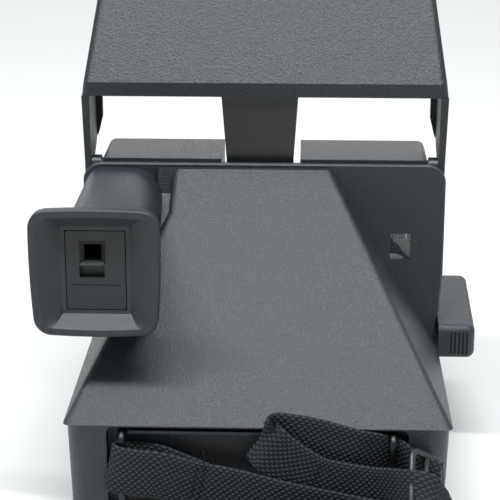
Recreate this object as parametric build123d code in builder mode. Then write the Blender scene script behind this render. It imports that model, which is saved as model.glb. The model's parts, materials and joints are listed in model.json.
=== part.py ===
from build123d import *
import os
from math import atan2, cos, degrees, hypot, pi, radians, sin, tan

# Box-type instant camera with a flip-up flash cover, standing on its feet, cover raised.
# Row frame: origin on the floor under the middle of the body, +Z up, +Y to the back (the user's side),
# +X to the viewfinder side. Millimetres.

os.makedirs("parts", exist_ok=True)

# ---------------------------------------------------------------- driving dimensions
WALL = 2.2                 # moulded wall thickness
FLOOR_Z = 3.0              # underside of the base shell
FLOOR_HALF = 55.9          # half width of the base at its underside
BASE_DRAFT = 2.0           # degrees the base walls lean outwards
BASE_TOP = 35.0            # where the base meets the rear cover
BASE_REAR = 73.9           # rear wall of the base at its underside
FRONT_Y = -75.0            # front of the film door at its underside
DOOR_Y = -46.8             # split between base and film door
HOUSING_FRONT = -24.5      # front face of the upper housing
SEAM_Y = 2.3               # seam between front housing and rear cover
PLATE_Y = 4.5              # rear face of the flat rear plate
PLATE_TOP = 96.0
PLATE_HALF = 58.5
LOBE_TOP = 97.0
NECK_LEFT, NECK_RIGHT = -11.6, 13.9    # notch between the two top lobes
NOTCH_Z = 88.0
POCKET_HALF = 53.0         # half width of the housing beside the cover's arms
POCKET_Z = 73.5

HINGE_Y, HINGE_Z = -2.0, 94.0          # axis of the flash cover
COVER_LOW, COVER_HIGH = 117.0, 148.0
COVER_BACK, COVER_FRONT = 0.5, -48.0
COVER_LEAN = 35.0          # degrees from upright of the cover's rear panel
COVER_HALF_LOW, COVER_HALF_HIGH = 58.9, 54.6
STRIP_TOP = 121.5          # top of the narrow upright strip under the rear panel

SLOPE_TOP = (8.0, 93.6)    # (y, z) of the slope's upper edge
SLOPE_FOOT = (75.0, 35.0)
WEDGE_HALF = 57.4

EYE_X, EYE_Z = 47.3, 80.0  # viewfinder axis
EYE_Y = 69.5               # rear face of the eyepiece cup
TUBE = (32.5, 57.2, 63.0, 94.5)        # x low, x high, z low, z high

LENS_X, LENS_Z = 1.5, 67.5
COUNTER_X, COUNTER_Z = -44.5, 68.5     # film counter window in the rear plate
DIAL_X, DIAL_Z, DIAL_R = -42.0, 59.0, 12.0

FOOT_DROP = 1.8            # height of the floor gap under the bottom cover
ROLLER_R = 3.95
ROLLER_Y, ROLLER_Z = -60.0, 20.0
PITCH_M = 0.8              # gear module of the roller train
MOTOR_M = 0.5              # gear module of the motor stage
DOOR_HINGE_Y, DOOR_HINGE_Z = -48.5, 5.5
GEAR_X = -52.4             # outer face of the roller gear layer
GEAR_W = 1.8
LARGE_W = 1.2              # width of the large gear of the reduction pair

CHAMBER_HALF = 48.4
CHAMBER_TOP = 27.4
CHAMBER_REAR = 66.0

GRIP_INNER, GRIP_OUTER = -57.6, -69.6
GRIP_BACK, GRIP_FRONT = 8.5, -31.5
BUTTON_X, BUTTON_Z = -63.4, 41.5

STRAP_BAR_X = 40.0
STRAP_BAR_Y = 75.9
STRAP_W, STRAP_T = 15.5, 1.3


def slope_z(y, drop=0.0):
    """Height of the sloping rear face at depth y, lowered square to itself by drop."""
    (y0, z0), (y1, z1) = SLOPE_TOP, SLOPE_FOOT
    steep = (z0 - z1) / (y1 - y0)
    return z1 + (y1 - y) * steep - drop * hypot(1.0, steep)


def side_plane(x):
    """A plane seen from the +X side: local x is Y, local y is Z."""
    return Plane(origin=(x, 0, 0), x_dir=(0, 1, 0), z_dir=(1, 0, 0))


def back_plane(y):
    """A plane seen from the front, facing -Y: local x is X, local y is Z."""
    return Plane(origin=(0, y, 0), x_dir=(1, 0, 0), z_dir=(0, -1, 0))


def sag(radius, curvature):
    """Depth of a spherical lens face at this radius."""
    return curvature - (curvature**2 - radius**2) ** 0.5


def lower_hull(inset):
    """The drafted body of base and film door together, or its hollow when inset is the wall."""
    middle = (BASE_REAR + FRONT_Y) / 2
    with BuildPart() as hull:
        with BuildSketch(Plane.XY.offset(FLOOR_Z)):
            with Locations((0, middle)):
                RectangleRounded(2 * (FLOOR_HALF - inset), BASE_REAR - FRONT_Y - 2 * inset, 7 - inset)
        extrude(amount=46, taper=-BASE_DRAFT)
        with BuildSketch(side_plane(0)) as profile:
            with BuildLine():
                Polyline(
                    (90, FLOOR_Z + inset * 0.9),
                    (90, BASE_TOP),
                    (HOUSING_FRONT + 0.2, BASE_TOP),
                    (HOUSING_FRONT - 0.1, 46 - inset),
                    (-58, 43 - inset),
                    (FRONT_Y + inset, 33 - inset),
                    (-90, 31 - inset),
                    (-90, FLOOR_Z + inset * 0.9),
                    close=True,
                )
            make_face()
            nose = profile.vertices().sort_by_distance((-58, 43 - inset))[0:1]
            shoulder = profile.vertices().sort_by_distance((FRONT_Y + inset, 33 - inset))[0:1]
            fillet(nose, 18)
            fillet(shoulder, 6)
        extrude(amount=80, both=True, mode=Mode.INTERSECT)
    return hull.part


HULL = lower_hull(0.0)
HULL_INSIDE = lower_hull(WALL)

# ---------------------------------------------------------------- base shell
with BuildPart() as base_shell:
    add(HULL)
    add(HULL_INSIDE, mode=Mode.SUBTRACT)
    # open above the deck line, for the housing and the wedge
    with BuildSketch(Plane.XY.offset(BASE_TOP - 4)):
        with Locations((0, (BASE_REAR - 2.0 + HOUSING_FRONT) / 2)):
            Rectangle(2 * (FLOOR_HALF - 1.2), BASE_REAR - 2.0 - HOUSING_FRONT)
    extrude(amount=20, mode=Mode.SUBTRACT)
    # the film door takes everything in front of the split
    with BuildSketch(side_plane(0)):
        with BuildLine():
            Polyline((-95, 0), (-95, 60), (DOOR_Y, 60), (DOOR_Y, 9), (-45.0, 7.5), (-45.0, 0), close=True)
        make_face()
    extrude(amount=80, both=True, mode=Mode.SUBTRACT)
    # thick rear wall behind the strap recess
    with BuildSketch(Plane.XY.offset(FLOOR_Z + 1)):
        with Locations((0, 70.2)):
            Rectangle(100, 5.4)
    extrude(amount=BASE_TOP - FLOOR_Z - 1.2)
    with BuildSketch(back_plane(80)):
        with Locations((0, 21.4)):
            RectangleRounded(2 * STRAP_BAR_X + 9, 26.4, 2)
    extrude(amount=9.2, mode=Mode.SUBTRACT)
    # thin lip near the top of the recess
    with BuildSketch(back_plane(74.6)):
        with Locations((0, 32.9)):
            Rectangle(2 * STRAP_BAR_X - 4, 0.9)
    extrude(amount=5.2)
    # seats for the ends of the strap bars
    for side in (-1, 1):
        with Locations(Plane(origin=(side * STRAP_BAR_X, 75, 32.0), z_dir=(0, -1, 0))):
            Hole(1.3, depth=6)
        with Locations(Plane(origin=(side * STRAP_BAR_X, 75, 10.8), z_dir=(0, -1, 0))):
            Hole(1.3, depth=6)
    # slot for the film door latch in the +X wall
    with BuildSketch(side_plane(50)):
        with Locations((-36, 24)):
            SlotOverall(18, 7)
    extrude(amount=12, mode=Mode.SUBTRACT)
base_shell.part.label = "base_shell"
export_step(base_shell.part, "parts/base_shell.step")

# ---------------------------------------------------------------- bottom cover, feet, screws
SCREW_SPOTS = [(-44, -34), (44, -34), (-44, 60), (44, 60)]
FOOT_SPOTS = [(-46, -24), (46, -24), (-46, 50), (46, 50)]
COVER_PLATE_Z = FLOOR_Z - FOOT_DROP + 0.4
with BuildPart() as bottom_cover:
    with BuildSketch(Plane.XY.offset(COVER_PLATE_Z)):
        with Locations((0, 13.5)):
            RectangleRounded(106, 115, 6)
    extrude(amount=FLOOR_Z - COVER_PLATE_Z)
    with BuildSketch(Plane.XY.offset(COVER_PLATE_Z)):
        with Locations((0, 14)):
            with GridLocations(0, 7, 1, 9):
                SlotOverall(66, 2.4)
    extrude(amount=0.6, mode=Mode.SUBTRACT)
    with Locations([(x, y, COVER_PLATE_Z) for x, y in SCREW_SPOTS]):
        Cylinder(3.0, 2.0, mode=Mode.SUBTRACT)
    chamfer(bottom_cover.faces().sort_by(Axis.Z)[0].outer_wire().edges(), 0.5)
bottom_cover.part.label = "bottom_cover"
export_step(bottom_cover.part, "parts/bottom_cover.step")

with BuildPart() as rubber_feet:
    with Locations([(x, y, COVER_PLATE_Z / 2) for x, y in FOOT_SPOTS]):
        Cylinder(5.0, COVER_PLATE_Z)
    chamfer(rubber_feet.edges().group_by(Axis.Z)[0], 0.4)
rubber_feet.part.label = "rubber_feet"
export_step(rubber_feet.part, "parts/rubber_feet.step")

with BuildPart() as screws:
    with Locations([(x, y, 1.9) for x, y in SCREW_SPOTS]):
        Cylinder(2.5, 1.4)
    with Locations([(x, y, 1.25) for x, y in SCREW_SPOTS]):
        Box(2.6, 0.6, 0.5, mode=Mode.SUBTRACT)
        Box(0.6, 2.6, 0.5, mode=Mode.SUBTRACT)
screws.part.label = "screws"
export_step(screws.part, "parts/screws.step")

# ---------------------------------------------------------------- film chamber frame
APERTURE_HALF = 39.5
APERTURE_FRONT, APERTURE_BACK = -11.8, 64.0
with BuildPart() as chamber_frame:
    with BuildSketch(Plane.XY.offset(FLOOR_Z + 2.0)):
        with Locations((0, (CHAMBER_REAR - 44) / 2)):
            Rectangle(2 * CHAMBER_HALF + 3.4, CHAMBER_REAR + 44)
    extrude(amount=CHAMBER_TOP - FLOOR_Z - 2.0)
    with BuildSketch(Plane.XY.offset(0)):
        with Locations((0, (CHAMBER_REAR - 1.8 - 50) / 2)):
            Rectangle(2 * CHAMBER_HALF, CHAMBER_REAR - 1.8 + 50)
    extrude(amount=CHAMBER_TOP - 1.5, mode=Mode.SUBTRACT)
    with BuildSketch(Plane.XY.offset(CHAMBER_TOP - 3)):
        with Locations((0, (APERTURE_FRONT + APERTURE_BACK) / 2)):
            Rectangle(2 * APERTURE_HALF, APERTURE_BACK - APERTURE_FRONT - 2)
    extrude(amount=6, mode=Mode.SUBTRACT)
    # window for the pick arm in the +X rail
    with BuildSketch(side_plane(CHAMBER_HALF - 2)):
        with Locations((54, 21)):
            Rectangle(12, 5)
    extrude(amount=6, mode=Mode.SUBTRACT)
    chamfer(chamber_frame.edges().filter_by(Axis.X).group_by(Axis.Y)[0], 0.6)
chamber_frame.part.label = "chamber_frame"
export_step(chamber_frame.part, "parts/chamber_frame.step")

with BuildPart() as pack_spring:
    for x in (-26, 26):
        with BuildSketch(side_plane(x - 5)):
            with BuildLine():
                Polyline((-20, 5.75), (-20, 6.0), (8, 6.5), (36, 6.0), (36, 5.75), (8, 6.2), close=True)
            make_face()
        extrude(amount=10)
    with BuildSketch(Plane.XY.offset(5.75)):
        with Locations((0, -22)):
            Rectangle(62, 5)
    extrude(amount=0.3)
pack_spring.part.label = "pack_spring"
export_step(pack_spring.part, "parts/pack_spring.step")

with BuildPart() as battery_contacts:
    with Locations((-18, 48, 5.75), (18, 48, 5.75)):
        Box(5, 16, 0.5)
    with Locations((-18, 42, 6.2), (18, 42, 6.2)):
        Cylinder(1.6, 0.6)
battery_contacts.part.label = "battery_contacts"
export_step(battery_contacts.part, "parts/battery_contacts.step")

with BuildPart() as pick_arm:
    with BuildSketch(side_plane(50.6)):
        with BuildLine():
            Polyline((-20, 18), (-20, 24), (60, 24), (60, 19), (50, 19), (50, 21), (-14, 21), (-14, 18), close=True)
        make_face()
    extrude(amount=0.8)
    with BuildSketch(Plane.XY.offset(19.2)):
        with Locations((49.4, 57.5)):
            Rectangle(3.0, 3.0)
    extrude(amount=3.2)
pick_arm.part.label = "pick_arm"
export_step(pick_arm.part, "parts/pick_arm.step")

# ---------------------------------------------------------------- light cone and mirror


def cone_solid(inset):
    """The light-tight box between aperture, mirror and shutter; inset makes its hollow."""
    low, high = CHAMBER_TOP + 0.1, 84.0
    with BuildPart() as cone:
        with BuildSketch(back_plane(-13.0 + inset)):
            Polygon(
                (40.8 - inset, low),
                (18.0 - inset, high),
                (-18.0 + inset, high),
                (-40.8 + inset, low),
                align=None,
            )
        extrude(amount=-(78.0 - 2 * inset))
        with BuildSketch(side_plane(0)):
            with BuildLine():
                Polyline(
                    (-30, low - 1),
                    (-30, high - 1.2 * inset),
                    (10, high - 1.2 * inset),
                    (64.8, slope_z(64.8, 6.6)),
                    (64.8, low - 1),
                    close=True,
                )
            make_face()
        extrude(amount=60, both=True, mode=Mode.INTERSECT)
    return cone.part


CONE = cone_solid(0.0)
CONE_INSIDE = cone_solid(1.2)
with BuildPart() as light_cone:
    add(CONE)
    add(CONE_INSIDE, mode=Mode.SUBTRACT)
    # open to the mirror
    with BuildSketch(side_plane(0)):
        with BuildLine():
            Polyline(
                (14, slope_z(14, 9.0)),
                (14, 90),
                (70, 90),
                (70, slope_z(60, 6.6)),
                (60, slope_z(60, 9.0)),
                close=True,
            )
        make_face()
    extrude(amount=14.5, both=True, mode=Mode.SUBTRACT)
    with Locations(Plane(origin=(LENS_X, -10, LENS_Z), z_dir=(0, -1, 0))):
        Hole(9.0, depth=6)
light_cone.part.label = "light_cone"
export_step(light_cone.part, "parts/light_cone.step")

with BuildPart() as mirror:
    slope_angle = degrees(atan2(SLOPE_TOP[1] - SLOPE_FOOT[1], SLOPE_FOOT[0] - SLOPE_TOP[0]))
    mid_y = 36.0
    tilt = Plane(
        origin=(0, mid_y, slope_z(mid_y, 5.9)),
        x_dir=(1, 0, 0),
        z_dir=(0, sin(radians(slope_angle)), cos(radians(slope_angle))),
    )
    with BuildSketch(tilt):
        Polygon((-33, 33), (33, 33), (17, -30), (-17, -30), align=None)
    extrude(amount=1.6)
mirror.part.label = "mirror"
export_step(mirror.part, "parts/mirror.step")

# ---------------------------------------------------------------- rear cover: plate, wedge and viewfinder tube
WEDGE_OUTLINE = [(WEDGE_HALF, 30), (WEDGE_HALF, BASE_TOP), (30.0, 82.6), (29.2, 94.7), (-21.5, 94.7),
                 (-WEDGE_HALF, BASE_TOP), (-WEDGE_HALF, 30)]


def wedge_solid(inset, drop=0.0, outline=None):
    """The sloping wedge, cut from its rear outline and its side profile."""
    points = outline or WEDGE_OUTLINE
    foot_y = SLOPE_FOOT[0] - 1.6 * inset - (drop and 8.0) - 0.02
    foot_z = BASE_TOP - (inset and 2.0)
    with BuildPart() as wedge:
        with BuildSketch(back_plane(SEAM_Y)) as rear:
            Polygon(*points, align=None)
            if inset:
                offset(amount=-inset)
        extrude(amount=-80)
        with BuildSketch(side_plane(0)):
            with BuildLine():
                Polyline(
                    (SEAM_Y, foot_z),
                    (SEAM_Y, 94.7 - inset),
                    (6.7, 94.7 - inset),
                    (SLOPE_TOP[0], slope_z(SLOPE_TOP[0], inset + drop)),
                    (foot_y, slope_z(foot_y, inset + drop)),
                    (foot_y, foot_z),
                    close=True,
                )
            make_face()
        extrude(amount=80, both=True, mode=Mode.INTERSECT)
        if not inset and not drop:
            face = wedge.faces().filter_by(lambda f: f.normal_at().Y > 0.5 and f.normal_at().Z > 0.5)[0]
            edges = [e for e in face.edges() if e.center().Z > BASE_TOP + 1]
            fillet(edges, 2.6)
    return wedge.part


def tube_solid(inset, y_end):
    """The viewfinder tube; the inner upper corner is the softer one."""
    low_x, high_x, low_z, high_z = TUBE
    with BuildPart() as tube:
        with BuildSketch(back_plane(SEAM_Y - (1 if inset else 0))) as section:
            with BuildLine():
                Polyline(
                    (low_x + inset, low_z + inset),
                    (low_x + inset, high_z - inset),
                    (high_x - inset, high_z - inset),
                    (high_x - inset, low_z + inset),
                    close=True,
                )
            make_face()
            fillet(section.vertices().sort_by_distance((low_x + inset, high_z - inset))[0:1], 10 - inset)
            fillet(section.vertices().sort_by_distance((high_x - inset, high_z - inset))[0:1], 5 - inset)
            fillet(section.vertices().sort_by_distance((high_x - inset, low_z + inset))[0:1], 5 - inset)
        extrude(amount=-(y_end - SEAM_Y + (1 if inset else 0)))
    return tube.part


def plate_outline(shrink=0.0):
    """Outline of the flat rear plate in X and Z, made in the current sketch."""
    half = PLATE_HALF - shrink
    right = [(half - 2.2, BASE_TOP), (half - 0.7, 50), (half, 60), (half, PLATE_TOP - shrink)]
    Polygon(*right, *[(-x, z) for x, z in reversed(right)], align=None)


SADDLE_OUTLINE = [(WEDGE_HALF, 30), (WEDGE_HALF, BASE_TOP), (34.0, 76.0), (34.0, 94.7), (20, 94.7), (20, 30)]
WEDGE = wedge_solid(0.0)
WEDGE_INSIDE = wedge_solid(WALL)
SADDLE = wedge_solid(0.0, drop=5.0, outline=SADDLE_OUTLINE)
TUBE_OUTER = tube_solid(0.0, 61.0)
TUBE_INSIDE = tube_solid(WALL, 70.0)

with BuildPart() as rear_cover:
    with BuildSketch(back_plane(PLATE_Y)) as plate_sketch:
        plate_outline()
        fillet(plate_sketch.vertices().group_by(Axis.Y)[-1], 6)
    extrude(amount=PLATE_Y - SEAM_Y)
    chamfer(rear_cover.faces().sort_by(Axis.Y)[-1].outer_wire().edges(), 0.5)
    add(WEDGE)
    add(SADDLE)
    add(TUBE_OUTER)
    add(WEDGE_INSIDE, mode=Mode.SUBTRACT)
    add(TUBE_INSIDE, mode=Mode.SUBTRACT)
    with BuildSketch(back_plane(PLATE_Y + 1)):
        with Locations((COUNTER_X, COUNTER_Z)):
            Rectangle(6.8, 9.0)
    extrude(amount=4, mode=Mode.SUBTRACT)
    # pin that the counter dial turns on
    with BuildSketch(back_plane(SEAM_Y + 0.1)):
        with Locations((DIAL_X, DIAL_Z)):
            Circle(1.5)
    extrude(amount=4.2)
rear_cover.part.label = "rear_cover"
export_step(rear_cover.part, "parts/rear_cover.step")

with BuildPart() as counter_window:
    with Locations((COUNTER_X, SEAM_Y + 0.7, COUNTER_Z)):
        Box(6.7, 1.0, 8.9)
counter_window.part.label = "counter_window"
export_step(counter_window.part, "parts/counter_window.step")

with BuildPart() as counter_dial:
    with BuildSketch(back_plane(1.3)):
        Circle(DIAL_R)
        with PolarLocations(DIAL_R, 24):
            Circle(0.5, mode=Mode.SUBTRACT)
        Circle(1.55, mode=Mode.SUBTRACT)
    extrude(amount=1.0)
    with BuildSketch(back_plane(0.4)):
        Circle(4.0)
        Circle(1.55, mode=Mode.SUBTRACT)
    extrude(amount=2.2)
counter_dial.part = counter_dial.part.moved(Location((DIAL_X, 0, DIAL_Z)))
counter_dial.part.label = "counter_dial"
export_step(counter_dial.part, "parts/counter_dial.step")

# ---------------------------------------------------------------- eyepiece


def eye_outline(grow):
    """Outline of the eyepiece cup with slightly barrelled sides, in the current sketch."""
    top, bottom, up = 19.4 + grow, 18.4 + grow, 19.2 + grow
    with BuildLine() as sides:
        ThreePointArc((-bottom, -up), (0, -up - 0.7), (bottom, -up))
        ThreePointArc((bottom, -up), ((top + bottom) / 2 + 0.6, 0), (top, up))
        ThreePointArc((top, up), (0, up + 0.7), (-top, up))
        ThreePointArc((-top, up), (-(top + bottom) / 2 - 0.6, 0), (-bottom, -up))
    make_face(sides.edges())


INSERT_W, INSERT_H = 17.8, 24.4
INSERT_Y = 65.6
with BuildPart() as eyepiece_cup:
    eye_axis = Plane(origin=(EYE_X, EYE_Y, EYE_Z), x_dir=(1, 0, 0), z_dir=(0, -1, 0))
    with BuildSketch(eye_axis) as rim:
        eye_outline(-0.5)
        fillet(rim.vertices(), 5.5)
    extrude(amount=3.2)
    with BuildSketch(eye_axis.offset(3.2)) as wide:
        eye_outline(-0.5)
        fillet(wide.vertices(), 5.5)
    with BuildSketch(eye_axis.offset(8.5)):
        with Locations((-2.45, -1.3)):
            RectangleRounded(24.7, 31.4, 4.5)
    loft()
    # funnel from the rim down to the insert
    with BuildSketch(eye_axis.offset(-0.1)) as mouth:
        eye_outline(-2.6)
        fillet(mouth.vertices(), 4.0)
    with BuildSketch(eye_axis.offset(EYE_Y - INSERT_Y)):
        Rectangle(INSERT_W + 2.4, INSERT_H + 2.4)
    loft(mode=Mode.SUBTRACT)
    with BuildSketch(eye_axis):
        Rectangle(INSERT_W, INSERT_H)
    extrude(amount=12, mode=Mode.SUBTRACT)
    fillet(eyepiece_cup.faces().sort_by(Axis.Y)[-1].outer_wire().edges(), 0.7)
eyepiece_cup.part.label = "eyepiece_cup"
export_step(eyepiece_cup.part, "parts/eyepiece_cup.step")

with BuildPart() as eyepiece_insert:
    insert_plane = Plane(origin=(EYE_X, INSERT_Y, EYE_Z), x_dir=(1, 0, 0), z_dir=(0, -1, 0))
    with BuildSketch(insert_plane):
        RectangleRounded(INSERT_W - 0.5, INSERT_H - 0.5, 0.6)
    extrude(amount=3.6)
    # square window with a bevelled frame
    with BuildSketch(insert_plane.offset(-0.01)):
        with Locations((0.9, 5.4)):
            Rectangle(7.6, 7.4)
    with BuildSketch(insert_plane.offset(1.3)):
        with Locations((0.9, 5.2)):
            Rectangle(5.1, 4.8)
    loft(mode=Mode.SUBTRACT)
    with BuildSketch(insert_plane):
        with Locations((0.9, 5.2)):
            Rectangle(5.1, 4.8)
    extrude(amount=5, mode=Mode.SUBTRACT)
    # slot under it
    with BuildSketch(insert_plane):
        with Locations((1.1, -0.5)):
            Rectangle(7.4, 3.5)
    extrude(amount=2.4, mode=Mode.SUBTRACT)
    # parting line
    with BuildSketch(insert_plane):
        with Locations((0, -4.5)):
            Rectangle(14.6, 0.25)
    extrude(amount=0.3, mode=Mode.SUBTRACT)
eyepiece_insert.part.label = "eyepiece_insert"
export_step(eyepiece_insert.part, "parts/eyepiece_insert.step")

with BuildPart() as finder_rear_lens:
    with BuildSketch(Plane(origin=(EYE_X - 2.4, 55.0, EYE_Z - 1.3), x_dir=(1, 0, 0), z_dir=(0, -1, 0))):
        RectangleRounded(18, 22, 3)
    extrude(amount=2.0)
    fillet(finder_rear_lens.edges().group_by(Axis.Y)[-1], 0.8)
finder_rear_lens.part.label = "finder_rear_lens"
export_step(finder_rear_lens.part, "parts/finder_rear_lens.step")

# ---------------------------------------------------------------- front housing


def housing_outline(shrink):
    """Front outline of the upper housing: wide below, stepped in beside the arms, notched for the neck."""
    low, wide, slim = 56.0 - shrink, 57.2 - shrink, POCKET_HALF - shrink
    top, step, notch = LOBE_TOP - shrink, POCKET_Z - shrink, NOTCH_Z - shrink
    Polygon(
        (low, BASE_TOP),
        (wide, 58),
        (wide, step),
        (slim, step),
        (slim, top),
        (NECK_RIGHT + shrink, top),
        (NECK_RIGHT + shrink, notch),
        (NECK_LEFT - shrink, notch),
        (NECK_LEFT - shrink, top),
        (-slim, top),
        (-slim, step),
        (-wide, step),
        (-wide, 58),
        (-low, BASE_TOP),
        align=None,
    )


PANEL = (-48.0, 37.5, 50.0, 85.0)      # opening for the lens panel: x low, x high, z low, z high
FINDER_PANE = (40.2, 50.4, 73.0, 87.0)
PIN_X = POCKET_HALF + 5.9              # outer end of the cover's hinge pins

with BuildPart() as front_housing:
    with BuildSketch(back_plane(SEAM_Y - 0.1)) as front_outline:
        housing_outline(0.0)
        lobe_corners = [v for v in front_outline.vertices() if v.Y > LOBE_TOP - 0.1 and abs(v.X) > 50]
        fillet(lobe_corners, 2.5)
    extrude(amount=SEAM_Y - 0.1 - HOUSING_FRONT)
    front_edges = front_housing.faces().sort_by(Axis.Y)[0].outer_wire().edges()
    fillet([e for e in front_edges if e.center().Z > BASE_TOP + 1], 1.2)
    with BuildSketch(back_plane(SEAM_Y)):
        housing_outline(WALL)
    extrude(amount=SEAM_Y - HOUSING_FRONT - WALL, mode=Mode.SUBTRACT)
    # the front wall stands on the nose deck
    with BuildSketch(back_plane(HOUSING_FRONT + 4)):
        with Locations((0, 35.6)):
            Rectangle(130, 21.2)
    extrude(amount=10, mode=Mode.SUBTRACT)
    for x0, x1, z0, z1, corner in (PANEL + (3.0,), FINDER_PANE + (1.5,)):
        with BuildSketch(back_plane(HOUSING_FRONT + 4)):
            with Locations(((x0 + x1) / 2, (z0 + z1) / 2)):
                RectangleRounded(x1 - x0, z1 - z0, corner)
        extrude(amount=10, mode=Mode.SUBTRACT)
    # bosses and holes for the cover's hinge pins
    for side in (-1, 1):
        with BuildSketch(side_plane(side * (POCKET_HALF - 1.5))):
            with Locations((HINGE_Y, HINGE_Z - 1.0)):
                Rectangle(8.2, 7.4)
        extrude(amount=-side * 3.5)
        with BuildSketch(side_plane(side * (POCKET_HALF + 3))):
            with Locations((HINGE_Y, HINGE_Z)):
                Circle(2.0)
        extrude(amount=-side * 12, mode=Mode.SUBTRACT)
    # opening beside the grip block for its screw and the shutter linkage
    with BuildSketch(side_plane(-60)):
        with Locations((-12, 42)):
            Rectangle(20, 8)
    extrude(amount=8, mode=Mode.SUBTRACT)
front_housing.part.label = "front_housing"
export_step(front_housing.part, "parts/front_housing.step")

with BuildPart() as lens_panel:
    x0, x1, z0, z1 = PANEL
    with BuildSketch(back_plane(HOUSING_FRONT + WALL - 0.2)):
        with Locations(((x0 + x1) / 2, (z0 + z1) / 2)):
            RectangleRounded(x1 - x0 - 0.4, z1 - z0 - 0.4, 2.8)
        with Locations((LENS_X, LENS_Z)):
            Circle(14.0, mode=Mode.SUBTRACT)
        with Locations((-28, 73)):
            Circle(4.6, mode=Mode.SUBTRACT)
        with Locations((28, 57)):
            SlotOverall(15.5, 2.6, mode=Mode.SUBTRACT)
    extrude(amount=1.8)
    # shallow fan of ribs around the lens
    with BuildSketch(back_plane(HOUSING_FRONT + 0.3)):
        with Locations((-37, LENS_Z - 6)):
            with GridLocations(0, 2.6, 1, 5):
                SlotOverall(15, 0.9)
    extrude(amount=1.0, mode=Mode.SUBTRACT)
lens_panel.part.label = "lens_panel"
export_step(lens_panel.part, "parts/lens_panel.step")

with BuildPart() as lens_bezel:
    with BuildSketch(Plane(origin=(0, 0, 0), x_dir=(1, 0, 0), z_dir=(0, 0, 1))):
        with BuildLine():
            Polyline((9.2, -22.6), (13.9, -22.6), (13.9, -24.45), (16.4, -24.45), (16.4, -26.4), (15.6, -27.3),
                     (14.2, -27.3), (12.6, -25.6), (10.9, -25.6), (9.2, -23.6), close=True)
        make_face()
    revolve(axis=Axis.Y)
lens_bezel.part = lens_bezel.part.moved(Location((LENS_X, 0, LENS_Z)))
lens_bezel.part.label = "lens_bezel"
export_step(lens_bezel.part, "parts/lens_bezel.step")

with BuildPart() as taking_lens:
    with BuildSketch(Plane(origin=(0, 0, 0), x_dir=(1, 0, 0), z_dir=(0, 0, 1))):
        with BuildLine():
            front, rear = -25.3, -23.3
            ThreePointArc((0, front), (4.5, front + sag(4.5, 28)), (9.1, front + sag(9.1, 28)))
            Line((9.1, front + sag(9.1, 28)), (9.1, rear + sag(9.1, 60)))
            ThreePointArc((9.1, rear + sag(9.1, 60)), (4.5, rear + sag(4.5, 60)), (0, rear))
            Line((0, rear), (0, front))
        make_face()
    revolve(axis=Axis.Y)
taking_lens.part = taking_lens.part.moved(Location((LENS_X, 0, LENS_Z)))
taking_lens.part.label = "taking_lens"
export_step(taking_lens.part, "parts/taking_lens.step")

with BuildPart() as sensor_window:
    with BuildSketch(back_plane(HOUSING_FRONT + WALL - 0.2)):
        with Locations((-28, 73)):
            Circle(4.5)
    extrude(amount=2.0)
    fillet(sensor_window.edges().group_by(Axis.Y)[0], 0.5)
sensor_window.part.label = "sensor_window"
export_step(sensor_window.part, "parts/sensor_window.step")

with BuildPart() as finder_front_lens:
    x0, x1, z0, z1 = FINDER_PANE
    with BuildSketch(back_plane(HOUSING_FRONT + WALL)):
        with Locations(((x0 + x1) / 2, (z0 + z1) / 2)):
            RectangleRounded(x1 - x0 - 0.3, z1 - z0 - 0.3, 1.3)
    extrude(amount=1.7)
    fillet(finder_front_lens.edges().group_by(Axis.Y)[0], 0.5)
finder_front_lens.part.label = "finder_front_lens"
export_step(finder_front_lens.part, "parts/finder_front_lens.step")

# ---------------------------------------------------------------- shutter
with BuildPart() as shutter_plate:
    with BuildSketch(back_plane(-18.6)):
        with Locations((LENS_X, LENS_Z)):
            RectangleRounded(46, 31, 3)
            Circle(6.0, mode=Mode.SUBTRACT)
            with GridLocations(38, 24, 2, 2):
                Circle(1.4, mode=Mode.SUBTRACT)
    extrude(amount=1.6)
shutter_plate.part.label = "shutter_plate"
export_step(shutter_plate.part, "parts/shutter_plate.step")

for side, name, rear in ((-1, "shutter_blade_left", -17.8), (1, "shutter_blade_right", -17.0)):
    with BuildPart() as blade:
        with BuildSketch(back_plane(rear)) as outline:
            with Locations((LENS_X + side * 5, LENS_Z)):
                RectangleRounded(34, 17, 4)
            with Locations((LENS_X - side * 6.5, LENS_Z)):
                Circle(3.6, mode=Mode.SUBTRACT)
        extrude(amount=0.4)
    blade.part.label = name
    export_step(blade.part, f"parts/{name}.step")

with BuildPart() as exposure_slider:
    with BuildSketch(back_plane(HOUSING_FRONT + WALL + 0.1)):
        with Locations((28, 57)):
            RectangleRounded(9, 6, 1)
    extrude(amount=-1.2)
    with BuildSketch(back_plane(HOUSING_FRONT + WALL + 0.1)):
        with Locations((28, 57)):
            RectangleRounded(3.4, 2.3, 0.6)
    extrude(amount=2.6)
exposure_slider.part.label = "exposure_slider"
export_step(exposure_slider.part, "parts/exposure_slider.step")

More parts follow.
